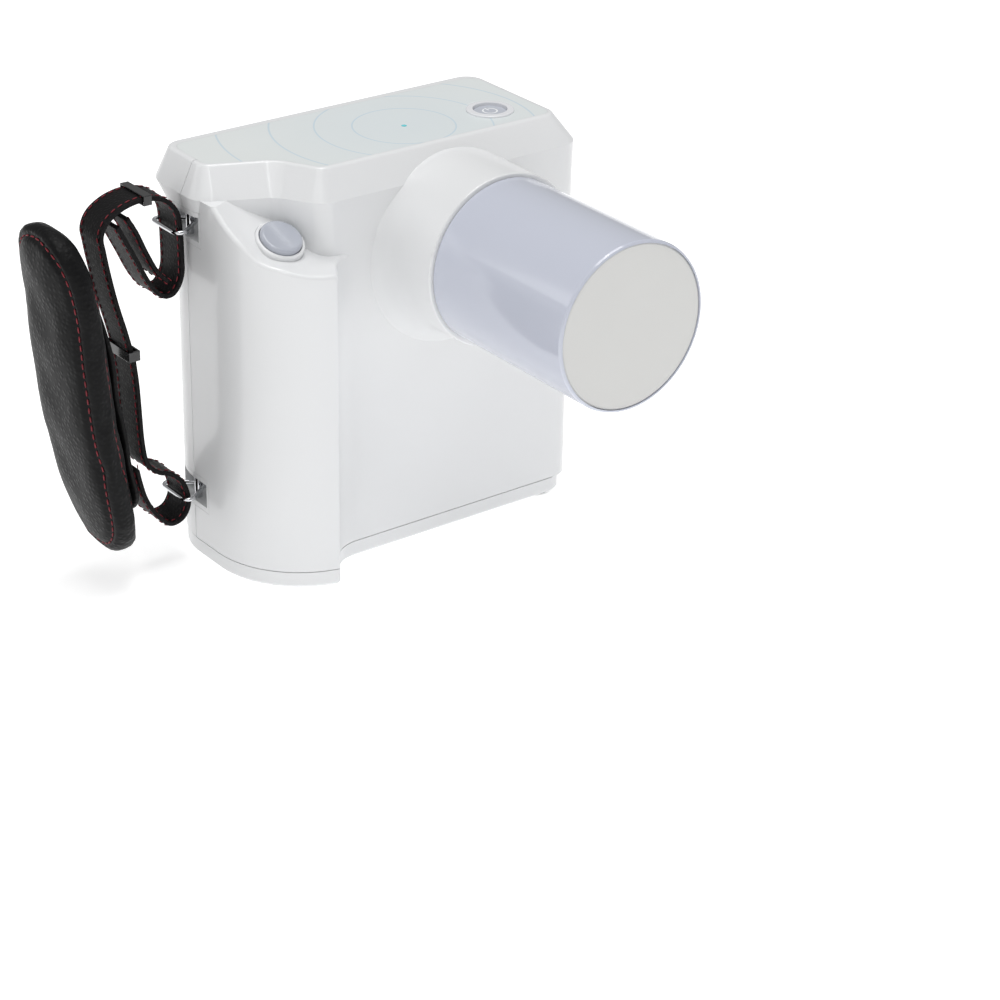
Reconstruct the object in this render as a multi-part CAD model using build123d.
"""Hand-held intraoral X-ray unit, in millimetres: +Z is up and the cone points to -Y.

The origin is the middle of the body's footprint, on the plane it stands on. The grip and
hand strap are on the -X side, the operator's panel on the +Y side.
"""
from build123d import *
import math
import os

os.makedirs("parts", exist_ok=True)

# ---------------------------------------------------------------------------
# Driving dimensions
# ---------------------------------------------------------------------------
FIT = 0.05             # close clearance between mating parts
SEAM_GAP = 0.3         # open joint between casing parts

# body envelope
X_L, X_R = -72.8, 72.8
Y_F, Y_B = -31.0, 31.0
Z_SEAM = 7.0           # base cover / casing joint
Z_NECK = 128.0         # top of the neck, where it flares out to the cap
Z_CAP = 140.4          # lower edge of the tapered cap
Z_TOP = 151.4          # top face
TOP_ROUND = 1.5
SHELF_ROLL = 1.6       # rolled edge round the finger shelf
WALL = 2.4
Y_SPLIT = 5.0          # front / rear casing joint
PALM_R = 27.0          # rear-left corner, where the palm sits

# cone and its collar
CONE_X, CONE_Z = 17.45, 115.45
CONE_R = 30.5
CONE_BORE_R = 27.5
CONE_TIP = Y_F - 97.9
DISC_SEAT_R, DISC_SEAT_DEPTH = 29.55, 2.6
COLLAR_Y = Y_F - 27.07         # front end of the collar
COLLAR_R = 32.0
COLLAR_ROOT_Y = -27.4          # collar's end inside the body wall
SEAT_R = 30.0                  # cone tube's seat inside the collar
# flare of the collar root: y, radius
FLARE = [(-46.0, 32.0), (-40.5, 32.35), (-36.5, 33.1), (-33.4, 34.3), (-31.0, 35.8),
         (COLLAR_ROOT_Y, 35.8)]
FLARE_DRIFT = (-0.53, -0.80)   # x, z shift of the flare's centre per mm of added radius

# exposure trigger: crown centre, outward press axis, button radius
TRIG_P = (-53.4, -25.9, 130.4)
TRIG_N = (0.06, -0.46, 0.886)
TRIG_R = 7.6

# top face: centres as x, y
POWER_P, POWER_R, POWER_RING_R = (46.2, -10.9), 6.2, 8.0
LED_P, LED_R = (11.0, -7.0), 0.95
LABEL_POCKET = 0.5

# operator's panel
KEYS = {"time_up_key": 0.0, "time_down_key": 12.0, "mode_key": 24.0, "memory_key": 36.0}  # x
KEY_Z, KEY_R = 88.0, 4.2
WINDOW_X0, WINDOW_X1, WINDOW_Z0, WINDOW_Z1 = -8.0, 44.0, 101.0, 135.0
SOCKET_X, SOCKET_Z, SOCKET_R = 40.0, 20.0, 4.5

# strap: swing axis of both rings, then bar, wire, webbing and pad
BAR_X, BAR_Y, BAR_R = -70.0, 7.0, 1.4
BAR_Z = {"upper": 129.0, "lower": 26.5}
WIRE_R = 0.8
WEB_W, WEB_T = 14.0, 1.6
PAD_W, PAD_T = 44.0, 12.0

# insulated tube tank
TANK_X0, TANK_X1 = -14.0, 50.0
TANK_Y0, TANK_Y1 = -26.6, 13.0
TANK_Z0, TANK_Z1 = 87.5, 143.5
TANK_W = 3.0
TANK_WINDOW_R = 12.0
TANK_LID_Y = TANK_Y1 + 1.0     # inner face of the lid, behind the gasket
TANK_LID_T = 3.0
TANK_SHELF_T = 2.2
TUBE_Y = -8.0                  # tube axis, along X at cone height
ANODE_ANGLE = math.radians(18)

# battery pack
CELL_R, CELL_Z0, CELL_Z1 = 9.2, 12.0, 77.0
CELLS = [(-52, -18), (-51.5, 2), (-34, -8), (-33, 13)]                             # x, y

# fasteners and feet
SHELL_SCREWS = [(64.5, 24.0), (64.5, 128.0), (-14.0, 24.0), (-26.0, 128.0)]        # x, z
BASE_RIGHT = [(64.5, -8.0), (64.5, 16.0)]                                          # x, y
BASE_LEFT = [(-65.0, -22.0), (-53.5, 24.5)]                                        # x, y
BASE_SCREWS = BASE_RIGHT + BASE_LEFT
BOSS_R = 4.0
FEET = [(61.0, -24.5), (61.0, 23.0), (-45.0, -36.6), (-50.0, 14.0)]                # x, y
FOOT_R, FOOT_T = 5.0, 1.58
RETAINER_SCREW_PITCH_R = 27.4
RETAINER_SCREWS = [(CONE_X + RETAINER_SCREW_PITCH_R * math.cos(math.radians(45 + 90 * k)),
                    CONE_Z + RETAINER_SCREW_PITCH_R * math.sin(math.radians(45 + 90 * k)))
                   for k in range(4)]                                              # x, z


# ---------------------------------------------------------------------------
# Plan outlines, counter-clockwise: x, y, corner radius
# ---------------------------------------------------------------------------
def plan_main(rear_left, right):
    """Grip and body; the grip's front edge is the sharp corner."""
    return [
        (X_L, -37.2, 36.0),
        (-43.8, -45.6, 1.2),
        (-34.7, Y_F, 14.0),
        (right, Y_F, 8.0),
        (right, Y_B, 10.0),
        (X_L, Y_B, rear_left),
    ]


PLAN_MAIN = plan_main(PALM_R, X_R)
PLAN_BASE = plan_main(PALM_R + 1, X_R - 2.6)

# neck between the grip's top and the cap (the finger recess)
PLAN_NECK = [
    (X_L, -4.6, 9.0),
    (-49.2, -15.4, 9.0),
    (-39.4, Y_F, 8.0),
    (X_R, Y_F, 8.0),
    (X_R, Y_B, 10.0),
    (X_L, Y_B, PALM_R),
]
PLAN_CAP_FOOT = [
    (X_L - 1.9, -5.3, 10.0),
    (-49.6, -16.4, 8.0),
    (-40.0, Y_F - 0.6, 9.0),
    (X_R + 0.5, Y_F - 0.6, 9.0),
    (X_R + 0.5, Y_B + 0.6, 11.0),
    (X_L - 1.9, Y_B + 0.6, 14.0),
]
PLAN_CAP_TOP = [
    (-69.6, -0.6, 4.6),
    (-46.0, -10.6, 14.0),
    (-37.2, -26.2, 4.0),
    (64.9, -26.2, 5.0),
    (64.9, 25.9, 7.0),
    (-68.6, 25.9, 6.0),
]
PLAN_LABEL = [
    (-67.9, -0.3, 3.8),
    (-45.2, -9.7, 14.0),
    (-36.4, -24.9, 3.2),
    (63.6, -24.9, 4.0),
    (63.6, 22.6, 5.5),
    (-67.0, 22.6, 5.0),
]


def outline(corners, inset=0.0):
    """Wire at z = 0 round a counter-clockwise (x, y, radius) table, offset inwards exactly."""
    points = [Vector(x, y) for x, y, _ in corners]
    sides = []
    for start, end in zip(points, points[1:] + points[:1]):
        heading = (end - start).normalized()
        sides.append((start + Vector(-heading.Y, heading.X) * inset, heading))
    arcs = []
    for i, (_, _, radius) in enumerate(corners):
        (origin_in, dir_in), (origin_out, dir_out) = sides[i - 1], sides[i]
        cross = dir_in.X * dir_out.Y - dir_in.Y * dir_out.X
        gap = origin_out - origin_in
        corner = origin_in + dir_in * ((gap.X * dir_out.Y - gap.Y * dir_out.X) / cross)
        dot = dir_in.X * dir_out.X + dir_in.Y * dir_out.Y
        half_turn = math.acos(max(-1.0, min(1.0, dot))) / 2
        # an inset tightens outside corners and opens inside ones
        radius = max(radius - inset if cross > 0 else radius + inset, 0.25)
        trim = radius * math.tan(half_turn)
        bisector = (dir_out - dir_in).normalized()
        middle = corner + bisector * (radius / math.cos(half_turn) - radius)
        arcs.append((corner - dir_in * trim, middle, corner + dir_out * trim))
    edges = []
    for arc, following in zip(arcs, arcs[1:] + arcs[:1]):
        edges.append(ThreePointArc(*arc))
        edges.append(Line(arc[2], following[0]))
    return Wire(edges)


def plate(corners, z0, z1, inset=0.0):
    face = Face(outline(corners, inset)).moved(Location((0, 0, z0)))
    return extrude(face, amount=z1 - z0, dir=(0, 0, 1))


def taper(low_corners, z0, high_corners, z1, low_inset, high_inset):
    """Ruled solid between two plan outlines."""
    low = Face(outline(low_corners, low_inset).moved(Location((0, 0, z0))))
    high = Face(outline(high_corners, high_inset).moved(Location((0, 0, z1))))
    return loft([low, high], ruled=True)


# ---------------------------------------------------------------------------
# Solids and small helpers
# ---------------------------------------------------------------------------
def box(x0, x1, y0, y1, z0, z1):
    return Solid.make_box(x1 - x0, y1 - y0, z1 - z0, Plane((x0, y0, z0)))


def boxes(rows):
    """One box per row of x0, x1, y0, y1, z0, z1."""
    return [box(*row) for row in rows]


def cyl(radius, base, axis, height):
    return Solid.make_cylinder(radius, height, Plane(origin=base, z_dir=axis))


def cyl_x(radius, y, z, x0, x1):
    return cyl(radius, (x0, y, z), (1, 0, 0), x1 - x0)


def cyl_y(radius, x, z, y0, y1):
    return cyl(radius, (x, y0, z), (0, 1, 0), y1 - y0)


def cyl_z(radius, x, y, z0, z1):
    return cyl(radius, (x, y, z0), (0, 0, 1), z1 - z0)


def trig_point(depth):
    """Point on the trigger axis; positive is outward from the crown."""
    return tuple(p + n * depth for p, n in zip(TRIG_P, TRIG_N))


def cyl_trig(radius, depth0, depth1):
    return cyl(radius, trig_point(depth0), TRIG_N, depth1 - depth0)


def turn_cone(profile):
    """Solid of revolution about the cone axis; profile is a closed list of (radius, y)."""
    wire = Wire(list(Polyline(*profile, close=True).edges()))
    return revolve(Face(wire), axis=Axis.Y).moved(Location((CONE_X, 0, CONE_Z)))


def round_end(shape, radius, pick, axis):
    """Fillet the circular edge lying furthest along an axis; pick is min or max."""
    circles = shape.edges().filter_by(GeomType.CIRCLE)
    return fillet([pick(circles, key=lambda edge: getattr(edge.center(), axis))], radius)


def round_top(shape, radius):
    return fillet(shape.edges().sort_by(Axis.Z)[-1:], radius)


def biggest(shape):
    return max(shape.solids(), key=lambda solid: solid.volume)


def save(name, shape):
    # a boolean may return a plain list of solids
    if not isinstance(shape, (Solid, Compound)):
        shape = Compound(children=list(shape))
    shape.label = name
    export_step(shape, f"parts/{name}.step")


def save_group(name, pieces):
    save(name, Compound(children=pieces))


# ---------------------------------------------------------------------------
# Body form, with the swept finger shelf above the grip
# ---------------------------------------------------------------------------
# shelf profile: distance along the sweep-up, height
SHELF_PROFILE = [
    (-30, 119.8), (0, 119.9), (10, 120.3), (18, 121.2), (24, 122.4), (28.4, 124.2), (33.4, 127.0),
    (37.8, 130.0), (42.2, 133.2), (46, 136.3), (50, 139.9), (58, 147.5), (76, 166.0)]
SHELF_ORIGIN = (-14.2, -31.0)     # x, y
SHELF_ALONG = (-0.6, 0.8)         # profile direction in plan
SHELF_ACROSS = (0.8, 0.6)         # direction between the two profiles
SHELF_SLOPE = 0.19                # rise across the shelf, once the profile turns up
SHELF_CUT_Z = 230


def shelf_section(across, drop):
    points = []
    for along, z in SHELF_PROFILE:
        blend = min(1.0, max(0.0, (along - 20) / 14.0))
        blend = blend * blend * (3 - 2 * blend)
        points.append(Vector(
            SHELF_ALONG[0] * along + SHELF_ACROSS[0] * across + SHELF_ORIGIN[0],
            SHELF_ALONG[1] * along + SHELF_ACROSS[1] * across + SHELF_ORIGIN[1],
            z + SHELF_SLOPE * (across + 41) * blend - drop))
    first, last = points[0], points[-1]
    above_last, above_first = [Vector(p.X, p.Y, SHELF_CUT_Z) for p in (last, first)]
    return Wire([Spline(*points), Line(last, above_last), Line(above_last, above_first),
                 Line(above_first, first)])


def on_shelf_edge(edge):
    middle = edge.position_at(0.5)
    return (edge.geom_type == GeomType.BSPLINE
            and min(edge.position_at(0).Z, edge.position_at(1).Z) > 112
            and middle.X < -38 and middle.Y < -3)


def body(inset=0.0):
    """Grip, neck, flare and cap; only the outer form (no inset) has its edges rounded."""
    top = Z_TOP - inset
    shelf = loft([Face(shelf_section(across, inset)) for across in (-75, 25)], ruled=True)
    low = plate(PLAN_MAIN, Z_SEAM, Z_CAP + 8, inset) - shelf
    if inset == 0.0:
        low = low.fillet(SHELF_ROLL, [edge for edge in low.edges() if on_shelf_edge(edge)])
    low = low - box(-90, 90, 3.0, 50, Z_NECK, 160) - box(-90, 90, -60, 50, Z_CAP - inset, 160)
    neck = plate(PLAN_NECK, 60, Z_NECK, inset)
    flare = taper(PLAN_NECK, Z_NECK, PLAN_CAP_FOOT, Z_CAP, inset, inset)
    cap = taper(PLAN_CAP_FOOT, Z_CAP, PLAN_CAP_TOP, top, inset, inset)
    if inset == 0.0:
        rim = [edge for edge in cap.edges()
               if all(abs(edge.position_at(k).Z - top) < 1e-4 for k in (0.0, 0.5, 1.0))]
        cap = cap.fillet(TOP_ROUND, rim)
    return low + neck + flare + cap


# ---------------------------------------------------------------------------
# Casing
# ---------------------------------------------------------------------------
def flared_collar():
    collar = cyl_y(COLLAR_R, CONE_X, CONE_Z, COLLAR_Y, COLLAR_ROOT_Y)
    collar = round_end(collar, 0.7, min, "Y")
    rings = []
    for y, radius in FLARE:
        growth = radius - COLLAR_R
        plane = Plane(
            origin=(CONE_X + FLARE_DRIFT[0] * growth, y, CONE_Z + FLARE_DRIFT[1] * growth),
            x_dir=(1, 0, 0), z_dir=(0, 1, 0))
        rings.append(Face(Wire(Circle(radius).moved(plane.location).edges())))
    for ring, following in zip(rings[:-1], rings[1:]):
        collar = collar + loft([ring, following], ruled=True)
    return collar


def shell_additions():
    """Screw bosses, then the ribs below the tank."""
    added = [cyl_y(BOSS_R, x, z, -30.0, 30.0) for x, z in SHELL_SCREWS]
    for x, y in BASE_RIGHT:
        added.append(box(60.5, 71.2, y - BOSS_R, y + BOSS_R, Z_SEAM, 17.0))
    for x, y in BASE_LEFT:
        added.append(cyl_z(BOSS_R, x, y, Z_SEAM, 17.0))
    for x in (-12.0, 46.0):
        added.append(box(x - 2, x + 2, -30.0, -20.0, 74.0, TANK_Z0 - TANK_SHELF_T - 0.1))
    return added


def shell_cuts():
    cuts = []
    for x, z in SHELL_SCREWS:                # pilot, clearance, head pocket
        cuts.append(cyl_y(1.5, x, z, -24.0, 24.0))
        cuts.append(cyl_y(1.75, x, z, Y_SPLIT, 24.0))
        cuts.append(cyl_y(3.3, x, z, 20.0, 40.0))
    for x, y in BASE_SCREWS:
        cuts.append(cyl_z(1.5, x, y, 6.0, 16.0))
    # cone port and seat, trigger hole, retainer screws
    cuts.append(cyl_y(16.0, CONE_X, CONE_Z, -40.0, -27.0))
    cuts.append(cyl_y(SEAT_R + FIT, CONE_X, CONE_Z, -70.0, Y_F))
    cuts.append(cyl_trig(TRIG_R + 1.45, -16.0, 24.0))
    for x, z in RETAINER_SCREWS:
        cuts.append(cyl_y(1.6, x, z, -33.0, -27.0))
    # top face: label pocket, power button, light
    cuts.append(plate(PLAN_LABEL, Z_TOP - LABEL_POCKET, Z_TOP + 2.0))
    cuts += top_holes()
    # rear face: window pocket and opening, keys, charge socket
    cuts.append(box(WINDOW_X0 - FIT, WINDOW_X1 + FIT, 30.0, 34.0,
                    WINDOW_Z0 - FIT, WINDOW_Z1 + FIT))
    cuts.append(box(WINDOW_X0 + 3, WINDOW_X1 - 3, 27.0, 34.0, WINDOW_Z0 + 3, WINDOW_Z1 - 3))
    for x in KEYS.values():
        cuts.append(cyl_y(KEY_R + 0.1, x, KEY_Z, 27.0, 34.0))
    cuts.append(cyl_y(SOCKET_R + 0.1, SOCKET_X, SOCKET_Z, 27.0, 34.0))
    for z in BAR_Z.values():                 # strap anchors
        cuts.append(box(-80.0, -62.4, BAR_Y - 11.4, BAR_Y + 11.4, z - 6.6, z + 6.6))
    return cuts


def top_holes():
    return [cyl_z(POWER_RING_R + FIT, *POWER_P, 147.0, 154.0),
            cyl_z(LED_R + FIT, *LED_P, 147.0, 154.0)]


outer = body()
inner = body(WALL)
shell = (outer + flared_collar()) - inner
shell = shell + [piece & outer for piece in shell_additions()]
shell = shell - shell_cuts()
save("front_shell", biggest(shell & box(-120, 120, -120, Y_SPLIT - SEAM_GAP / 2, -5, 200)))
save("back_shell", biggest(shell & box(-120, 120, Y_SPLIT + SEAM_GAP / 2, 120, -5, 200)))

# ---------------------------------------------------------------------------
# Base cover, tripod bush, feet and casing screws
# ---------------------------------------------------------------------------
BASE_Z0, BASE_RIM_Z = 0.6, 1.8          # underside, top of its bevelled edge
BASE_TOP = Z_SEAM - SEAM_GAP
BUSH_R, BUSH_FLANGE_R = 5.5, 7.0        # bush is on the origin

base = plate(PLAN_BASE, BASE_RIM_Z, BASE_TOP)
base = base + taper(PLAN_BASE, BASE_Z0, PLAN_BASE, BASE_RIM_Z, 1.1, 0.0)
base = base - plate(PLAN_BASE, 3.0, 9.0, WALL)
base = base + ([cyl_z(8.0, 0, 0, 2.0, 9.0)]
               + [cyl_z(BOSS_R, x, y, 2.0, BASE_TOP) for x, y in BASE_RIGHT])
base_cuts = [cyl_z(BUSH_R + 0.02, 0, 0, 0.0, 10.0), cyl_z(BUSH_FLANGE_R + FIT, 0, 0, 0.0, 1.6)]
for x, y in BASE_SCREWS:
    base_cuts += [cyl_z(1.7, x, y, 0.0, 8.0), cyl_z(3.0, x, y, 0.0, 2.0)]
for x, y in FEET:
    base_cuts.append(cyl_z(FOOT_R + FIT, x, y, 0.0, 1.6))
save("base_cover", biggest(base - base_cuts))

save("tripod_bush", (cyl_z(BUSH_R, 0, 0, 0.0, 9.0) + cyl_z(BUSH_FLANGE_R, 0, 0, 0.0, 1.58))
     - cyl_z(3.175, 0, 0, -1.0, 10.0))
save_group("rubber_feet", [
    fillet(cyl_z(FOOT_R, x, y, 0.0, FOOT_T).edges().sort_by(Axis.Z)[:1], 0.4) for x, y in FEET])
# screws: head, shank, drive recess
save_group("base_screws", [
    cyl_z(2.8, x, y, 0.7, 1.98) + cyl_z(1.4, x, y, 1.98, 15.0) - cyl_z(1.1, x, y, 0.0, 1.5)
    for x, y in BASE_SCREWS])
save_group("shell_screws", [
    cyl_y(2.9, x, z, 20.02, 23.0) + cyl_y(1.4, x, z, -20.0, 20.02) - cyl_y(1.4, x, z, 21.5, 24.0)
    for x, z in SHELL_SCREWS])

# ---------------------------------------------------------------------------
# Top face: label, power button, light and their board
# ---------------------------------------------------------------------------
label = plate(PLAN_LABEL, Z_TOP - LABEL_POCKET + 0.02, Z_TOP, 0.07)
for hole in top_holes():
    label = label - hole
save("top_label", label)

ring = (cyl_z(POWER_RING_R, *POWER_P, Z_TOP - 2.7, Z_TOP + 0.1)
        + cyl_z(POWER_RING_R + 0.75, *POWER_P, Z_TOP + 0.02, Z_TOP + 0.7))
save("power_button_ring",
     round_top(ring, 0.5) - cyl_z(POWER_R + 0.1, *POWER_P, 147.0, 154.0))
button = round_top(cyl_z(POWER_R, *POWER_P, Z_TOP - 4.4, Z_TOP - 0.2), 0.6)
save("power_button", button + cyl_z(7.8, *POWER_P, Z_TOP - 4.4, Z_TOP - 2.9))
save("status_light", cyl_z(LED_R, *LED_P, Z_TOP - 5.8, Z_TOP + 0.1)
     + cyl_z(2.4, *LED_P, Z_TOP - 5.0, Z_TOP - 2.7))

BOARD_TOP = Z_TOP - 6.5
power_x, power_y = POWER_P
led_x, led_y = LED_P
save("top_board", box(4.0, 58.0, -20.0, 12.0, BOARD_TOP - 1.0, BOARD_TOP) + boxes([
    (power_x - 3, power_x + 3, power_y - 3, power_y + 3, BOARD_TOP, BOARD_TOP + 0.8),
    (led_x - 1.6, led_x + 1.6, led_y - 1, led_y + 1, BOARD_TOP, BOARD_TOP + 0.5),
    (20, 30, -4, 4, BOARD_TOP, BOARD_TOP + 1.4),
    (30.0, 42.0, 5.0, 10.0, BOARD_TOP, BOARD_TOP + 2.7)]))

# ---------------------------------------------------------------------------
# Exposure trigger
# ---------------------------------------------------------------------------
SWITCH_BASE = -12.2        # top of the disc that carries the switch

crown = round_end(cyl_trig(TRIG_R, -7.5, 0.0), 1.1, max, "Z")
save("exposure_trigger", crown + cyl_trig(TRIG_R + 0.6, -8.0, -6.5))
bezel = round_end(cyl_trig(TRIG_R + 1.4, -13.4, -1.9), 0.9, max, "Z")
save("trigger_bezel", bezel - cyl_trig(TRIG_R + 0.25, -8.0, 2.0)
     - cyl_trig(TRIG_R + 0.75, -14.0, -6.4))

switch_x = Vector(1, 0, 0).cross(Vector(*TRIG_N)).normalized()
switch = Solid.make_box(6, 6, 2.2, Plane(origin=trig_point(SWITCH_BASE), x_dir=switch_x,
                                         z_dir=TRIG_N))
shift = Vector(*trig_point(SWITCH_BASE + 1.0)) - switch.center()    # centre it on the axis
switch = switch.moved(Location((shift.X, shift.Y, shift.Z)))
save("trigger_switch", cyl_trig(TRIG_R + 0.65, -13.4, SWITCH_BASE) + switch)

# ---------------------------------------------------------------------------
# Cone; profiles are (radius, y)
# ---------------------------------------------------------------------------
save("cone_retainer", turn_cone([
    (24.0, Y_F - FIT), (SEAT_R - FIT, Y_F - FIT), (SEAT_R - FIT, -35.0), (24.0, -35.0)])
     - [cyl_y(1.5, x, z, -34.6, -26.0) for x, z in RETAINER_SCREWS])
save_group("retainer_screws", [
    cyl_y(1.4, x, z, -34.0, -28.5) + cyl_y(2.7, x, z, -28.5, -26.9) for x, z in RETAINER_SCREWS])
save("cone_tube", turn_cone([
    (SEAT_R, -35.1), (SEAT_R, COLLAR_Y - 0.4), (CONE_R, COLLAR_Y - 0.4),
    (CONE_R, CONE_TIP + 1.0), (CONE_R - 0.3, CONE_TIP + 0.3), (CONE_R - 1.0, CONE_TIP),
    (DISC_SEAT_R, CONE_TIP), (DISC_SEAT_R, CONE_TIP + DISC_SEAT_DEPTH),
    (CONE_BORE_R, CONE_TIP + DISC_SEAT_DEPTH), (CONE_BORE_R, -35.1)]))
save("cone_end_disc", turn_cone([
    (0.0, CONE_TIP + 0.35), (28.9, CONE_TIP + 0.35), (DISC_SEAT_R - 0.1, CONE_TIP + 0.7),
    (DISC_SEAT_R - 0.1, CONE_TIP + 2.55), (0.0, CONE_TIP + 2.55)]))
save("collimator", turn_cone([(5.0, -31.2), (23.9, -31.2), (23.9, -34.9), (5.6, -34.9)]))
save("beam_filter", cyl_y(15.9, CONE_X, CONE_Z, -30.9, -29.4))

# ---------------------------------------------------------------------------
# Tube tank: open at the rear (+Y), closed by gasket and lid
# ---------------------------------------------------------------------------
TANK_CORNERS = [(x, z) for x in (TANK_X0 + 4.0, TANK_X1 - 4.0)
                for z in (TANK_Z0 + 4.0, TANK_Z1 - 4.0)]
LID_BACK = TANK_LID_Y + TANK_LID_T


def tank_slab(y0, y1):
    return box(TANK_X0, TANK_X1, y0, y1, TANK_Z0, TANK_Z1)


def lid_holes():
    return [cyl_y(1.7, x, z, 0, 30) for x, z in TANK_CORNERS]


cavity = box(TANK_X0 + TANK_W, TANK_X1 - TANK_W, TANK_Y0 + TANK_W, TANK_LID_Y,
             TANK_Z0 + TANK_W, TANK_Z1 - TANK_W)
cavity = cavity - [box(x - 4, x + 4, TANK_Y0 + 1, TANK_Y1 + 3, z - 4, z + 4)
                   for x, z in TANK_CORNERS]
tank = (tank_slab(TANK_Y0, TANK_Y1) - cavity
        - cyl_y(TANK_WINDOW_R + FIT, CONE_X, CONE_Z, TANK_Y0 - 1, TANK_Y0 + TANK_W + 1))
save("tube_tank", tank - [cyl_y(1.5, x, z, 4.0, TANK_LID_Y) for x, z in TANK_CORNERS])
save("tank_window", cyl_y(TANK_WINDOW_R, CONE_X, CONE_Z, TANK_Y0, TANK_Y0 + TANK_W))
save("tank_gasket", (tank_slab(TANK_Y1, TANK_LID_Y) - cavity) - lid_holes())
save("tank_lid", tank_slab(TANK_LID_Y, LID_BACK) - lid_holes())
save_group("tank_screws", [
    cyl_y(2.8, x, z, LID_BACK, LID_BACK + 2.0) + cyl_y(1.4, x, z, 5.0, LID_BACK)
    - cyl_y(1.3, x, z, LID_BACK + 0.8, LID_BACK + 3.0) for x, z in TANK_CORNERS])
save("tank_shelf", box(TANK_X0, TANK_X1, TANK_Y0, LID_BACK, TANK_Z0 - TANK_SHELF_T, TANK_Z0)
     - [box(TANK_X0 + 12, TANK_X1 - 12, TANK_Y0 + 8, TANK_Y1 - 4, TANK_Z0 - 4, TANK_Z0 + 1)])


# X-ray tube, its axis along X
def tube_cyl(radius, x0, x1):
    return cyl_x(radius, TUBE_Y, CONE_Z, x0, x1)


def capsule(radius, x0, x1, end_round):
    rod = tube_cyl(radius, x0, x1)
    return fillet(rod.edges().filter_by(GeomType.CIRCLE), end_round)


GLASS_T = 1.2
ANODE_STEM_R, CATHODE_STEM_R = 4.0, 2.5

save("tube_glass", capsule(11.0, -5.0, 40.0, 5.0)
     - capsule(11.0 - GLASS_T, -5.0 + GLASS_T, 40.0 - GLASS_T, 5.0 - GLASS_T)
     - tube_cyl(ANODE_STEM_R + 0.02, 38.0, 42.0) - tube_cyl(CATHODE_STEM_R + 0.02, -7.0, -3.0))

anode = tube_cyl(6.5, 17.0, 33.0) + tube_cyl(ANODE_STEM_R, 33.0, 45.0)
# block whose tilted side cuts the anode's end face
half = 20
sine, cosine = math.sin(ANODE_ANGLE), math.cos(ANODE_ANGLE)
bevel = Solid.make_box(2 * half, 2 * half, 2 * half, Plane(
    origin=(CONE_X, TUBE_Y, CONE_Z - half), x_dir=(-cosine, -sine, 0), z_dir=(0, 0, 1)))
save("tube_anode", anode - bevel.moved(Location((-half * sine, half * cosine, 0))))
save("tube_cathode", tube_cyl(6.0, -1.0, 8.0) + tube_cyl(CATHODE_STEM_R, -9.0, -1.0)
     - tube_cyl(3.2, 6.0, 9.0))

# high-voltage parts
save("hv_core", box(5, 35.6, -20, 3, 93, 101) - box(13, 27.6, -12, -5, 90, 104))
save("hv_coil", box(25.2, 38.0, -11.8, -5.2, 90.7, 103.6)
     - box(27.55, 35.65, -12, -5, 92.95, 101.05))
MULTIPLIER_Y, MULTIPLIER_PITCH = 7.4, 9.5     # board's rear face, column spacing
multiplier = box(-6.0, 41.0, 6.0, MULTIPLIER_Y, 92.0, 139.0) + [
    cyl_y(3.4, -1.0 + MULTIPLIER_PITCH * i, z, MULTIPLIER_Y, 11.4)
    for i in range(5) for z in (103.0, 128.0)]
multiplier = multiplier + [
    box(2.5 + MULTIPLIER_PITCH * i, 6.0 + MULTIPLIER_PITCH * i, MULTIPLIER_Y, 9.8, 108.0, 123.0)
    for i in range(4)]
save("hv_multiplier_board", multiplier)

# ---------------------------------------------------------------------------
# Electronics
# ---------------------------------------------------------------------------
BOARD_T = 1.6
INVERTER_Y, CONTROL_Y = -18.4, 17.6      # rear faces of the two main boards

save("inverter_board", box(-8, 56, INVERTER_Y - BOARD_T, INVERTER_Y, 26, 74) + [
    box(4, 22, INVERTER_Y, -6.0, 34, 52),
    box(28, 34, INVERTER_Y, -8, 32, 46),
    box(38, 44, INVERTER_Y, -8, 32, 46),
    cyl_y(4.0, 10, 62, INVERTER_Y, -8.0),
    cyl_y(4.0, 20, 62, INVERTER_Y, -8.0),
    box(30, 46, INVERTER_Y, -14, 54, 68)])
save("control_board", box(-8, 56, CONTROL_Y - BOARD_T, CONTROL_Y, 26, 74) + boxes([
    (8, 22, CONTROL_Y, 19.2, 40, 54),
    (30, 38, CONTROL_Y, 19.0, 44, 52),
    (0, 24, CONTROL_Y, 22.0, 60, 66),
    (30, 50, CONTROL_Y, 22.0, 62, 68)]))
save_group("board_spacers", [
    cyl_y(2.6, x, z, INVERTER_Y, CONTROL_Y - BOARD_T) for z in (30.0, 70.0) for x in (-4.0, 52.0)])
save("buzzer", cyl_y(6.0, 46.0, 50.0, CONTROL_Y, 24.0) - cyl_y(1.0, 46.0, 50.0, 22.0, 25.0))

save("keypad_board", box(-8, 44, 23.0, 24.2, 80, 96) + [
    box(x - 3, x + 3, 24.2, 25.6, KEY_Z - 3, KEY_Z + 3) for x in KEYS.values()])
for name, x in KEYS.items():
    key = round_end(cyl_y(KEY_R, x, KEY_Z, 28.0, 31.9), 0.7, max, "Y")
    save(name, key + cyl_y(KEY_R + 1.0, x, KEY_Z, 26.4, 28.4))
save("display_module", box(-6.5, 42.5, 24.6, 28.4, 102.5, 133.5))
save("display_window", box(WINDOW_X0, WINDOW_X1, 30.02, 30.95, WINDOW_Z0, WINDOW_Z1))


def socket_cyl(radius, y0, y1):
    return cyl_y(radius, SOCKET_X, SOCKET_Z, y0, y1)


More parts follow.
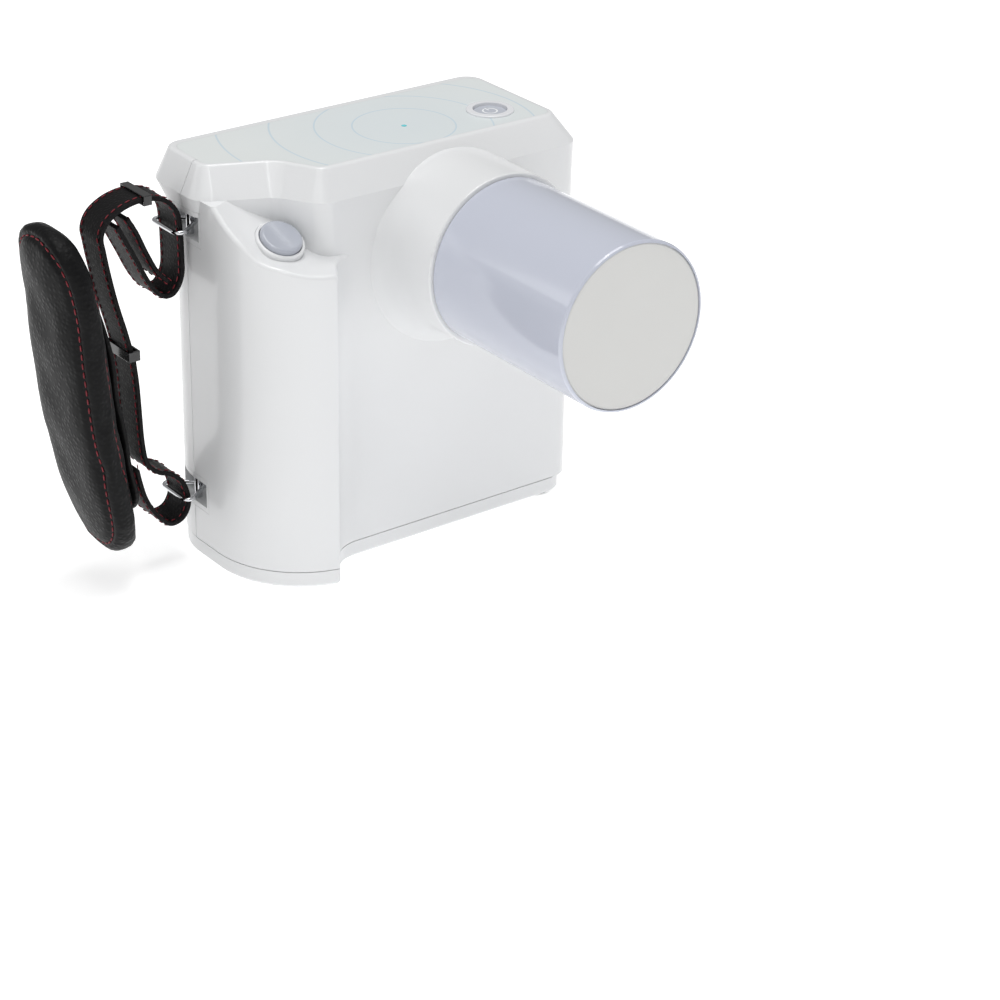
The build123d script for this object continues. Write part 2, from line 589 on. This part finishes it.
# barrel, flange and housing, then the bore and its centre pin
socket = (socket_cyl(SOCKET_R, 21.0, 31.05) + socket_cyl(6.0, 31.05, 31.8)
          + box(SOCKET_X - 6, SOCKET_X + 6, 19.6, 28.2, SOCKET_Z - 5.5, SOCKET_Z + 5.5))
save("charge_socket", socket - socket_cyl(2.8, 23.0, 33.0) + socket_cyl(1.0, 22.5, 30.5))


# ---------------------------------------------------------------------------
# Battery pack
# ---------------------------------------------------------------------------
def pack_plate(z0, z1):
    """Lobe round each cell, joined by a block and trimmed to the casing's inside."""
    first, *others = [cyl_z(CELL_R + 2.0, x, y, z0, z1) for x, y in CELLS]
    for lobe in others:
        first = first + lobe
    return (first + box(-52, -33, -16, 12, z0, z1)) & plate(PLAN_MAIN, z0, z1, WALL + 0.5)


def cell_holes(z0, z1):
    return [cyl_z(CELL_R + 0.1, x, y, z0, z1) for x, y in CELLS]


tray = pack_plate(9.5, 20.0) - [cyl_z(4.4, x, y, 5, 18) for x, y in BASE_SCREWS]
tray = tray - cell_holes(CELL_Z0, 30)
save("battery_tray", biggest(tray - box(-80, -62.0, -4, 18, 18.5, 30)))
save("battery_cap", biggest(pack_plate(70.0, 80.0) - cell_holes(60, CELL_Z1)))
save_group("battery_cells", [
    cyl_z(CELL_R, x, y, CELL_Z0, CELL_Z1 - 1.0) + cyl_z(3.0, x, y, CELL_Z1 - 1.0, CELL_Z1)
    for x, y in CELLS])


# ---------------------------------------------------------------------------
# Hand strap: centre lines are (x, z)
# ---------------------------------------------------------------------------
def smooth(points, steps=3):
    """Catmull-Rom points through the given ones."""
    ends = [points[0]] + list(points) + [points[-1]]
    out = []
    for quad in zip(ends, ends[1:], ends[2:], ends[3:]):
        for k in range(steps):
            t = k / steps
            out.append(tuple(
                0.5 * (2 * b + (c - a) * t + (2 * a - 5 * b + 4 * c - d) * t * t
                       + (3 * b - a - 3 * c + d) * t ** 3)
                for a, b, c, d in zip(*quad)))
    out.append(tuple(points[-1]))
    return out


def offset_line(points, distance):
    """Shift a line sideways, to the left of its direction in the x, z plane."""
    out = []
    for i, (x, z) in enumerate(points):
        before = points[max(0, i - 1)]
        after = points[min(len(points) - 1, i + 1)]
        dx, dz = after[0] - before[0], after[1] - before[1]
        length = math.hypot(dx, dz)
        out.append((x - dz / length * distance, z + dx / length * distance))
    return out


def ribbon(points, thick, width):
    """Flat strap centred on BAR_Y, its width along Y."""
    centre = smooth(points)
    left, right = [[Vector(x, BAR_Y - width / 2, z) for x, z in offset_line(centre, side)]
                   for side in (thick / 2, -thick / 2)]
    edges = [Spline(*left), Line(left[-1], right[-1]), Spline(*right[::-1]),
             Line(right[0], left[0])]
    return extrude(Face(Wire(edges)), amount=width, dir=(0, 1, 0))


def strap_anchor(z):
    cup = box(-80, -62.5, BAR_Y - 11.3, BAR_Y + 11.3, z - 6.5, z + 6.5) & outer
    cup = cup - box(-90, -64.0, BAR_Y - 10.0, BAR_Y + 10.0, z - 4.6, z + 4.6)
    return biggest(cup - cyl_z(BAR_R + 0.02, BAR_X, BAR_Y, z - 5.6, z + 5.6))


def strap_ring(z):
    """Triangular wire ring, one corner wrapped round the bar."""
    reach, spread = 10.5, 11.0
    wrap = BAR_R + FIT + WIRE_R
    half_angle = math.atan2(spread, reach) - math.asin(wrap / math.hypot(reach, spread))
    apex = wrap / math.sin(half_angle)
    path = outline([(apex, 0, wrap), (-reach, spread, 2.5), (-reach, -spread, 2.5)])
    path = path.moved(Location((BAR_X, BAR_Y, z)))
    start = Plane(origin=path.position_at(0), z_dir=path.tangent_at(0))
    section = Face(Wire(Circle(WIRE_R).moved(start.location).edges()))
    return sweep(section, path=path)


for tag, z in BAR_Z.items():
    save(f"strap_anchor_{tag}", strap_anchor(z))
    save(f"strap_ring_{tag}", strap_ring(z))
save_group("strap_bars", [cyl_z(BAR_R, BAR_X, BAR_Y, z - 5.5, z + 5.5) for z in BAR_Z.values()])

PAD_LINE = [(-124.6, 137.0), (-121.6, 125.0), (-119.5, 109.0), (-117.5, 88.0), (-115.0, 66.0),
            (-111.5, 44.0), (-107.5, 25.0), (-104.5, 13.5)]
# pad seen along X: y, z, corner radius
PAD_OUTLINE = [
    (BAR_Y - 10.0, 11.0, 9.0), (BAR_Y + 10.0, 11.0, 9.0),
    (BAR_Y + PAD_W / 2, 34.0, 24.0), (BAR_Y + PAD_W / 2, 116.0, 24.0),
    (BAR_Y + 10.0, 139.5, 9.0), (BAR_Y - 10.0, 139.5, 9.0),
    (BAR_Y - PAD_W / 2, 116.0, 24.0), (BAR_Y - PAD_W / 2, 34.0, 24.0)]
prism = extrude(Face(outline(PAD_OUTLINE)), amount=80, dir=(0, 0, 1))
prism = prism.moved(Location(Plane(origin=(-150, 0, 0), x_dir=(0, 1, 0), z_dir=(1, 0, 0))))
save("strap_pad", biggest(ribbon(PAD_LINE, PAD_T, PAD_W) & prism))

BACKING_T = 3.5
backing_line = offset_line(PAD_LINE[2:-1], PAD_T / 2 + 0.5 + BACKING_T / 2)
save("strap_backing", ribbon(backing_line, BACKING_T, 24.0))

WEB_UPPER = [
    (-98.9, 87.6), (-101.2, 97.0), (-104.2, 108.0), (-106.6, 119.0), (-108.2, 128.0),
    (-108.8, 133.5), (-106.0, 138.6), (-99.6, 142.2), (-91.6, 143.4), (-84.0, 141.6),
    (-79.2, 136.4), (-77.9, 129.5), (-77.6, 120.0), (-78.0, 112.0), (-81.4, 106.6),
    (-86.4, 107.0), (-91.2, 113.0), (-95.6, 122.0), (-99.6, 130.0), (-102.4, 135.6)]
WEB_TAIL = [(-98.2, 137.6), (-94.8, 131.6), (-91.5, 124.0), (-87.4, 116.0), (-83.0, 111.2)]
WEB_LOWER = [
    (-98.6, 87.0), (-97.4, 76.0), (-96.8, 64.0), (-96.2, 53.0), (-94.6, 44.6), (-90.4, 40.0),
    (-85.0, 37.6), (-80.6, 33.4), (-78.4, 27.6), (-78.4, 23.0), (-81.2, 18.8), (-86.4, 18.2),
    (-91.6, 23.4), (-95.4, 30.0), (-97.4, 36.4), (-98.8, 43.0)]
save("strap_web_upper", ribbon(WEB_UPPER, WEB_T, WEB_W))
save("strap_tail", ribbon(WEB_TAIL, WEB_T, WEB_W - 1))
save("strap_web_lower", ribbon(WEB_LOWER, WEB_T, WEB_W))

save("strap_keeper", box(-92.6, -89.4, BAR_Y - 8.0, BAR_Y + 8.0, 141.5, 145.1)
     - box(-95, -85, BAR_Y - 7.25, BAR_Y + 7.25, 142.0, 144.55))
slider = (box(-101.0, -96.4, BAR_Y - 8.0, BAR_Y + 8.0, 85.6, 89.2)
          - box(-100.4, -97.0, BAR_Y - 7.3, BAR_Y + 7.3, 80, 95))
save("strap_slider", fillet(slider.edges().filter_by(Axis.Z), 0.25))
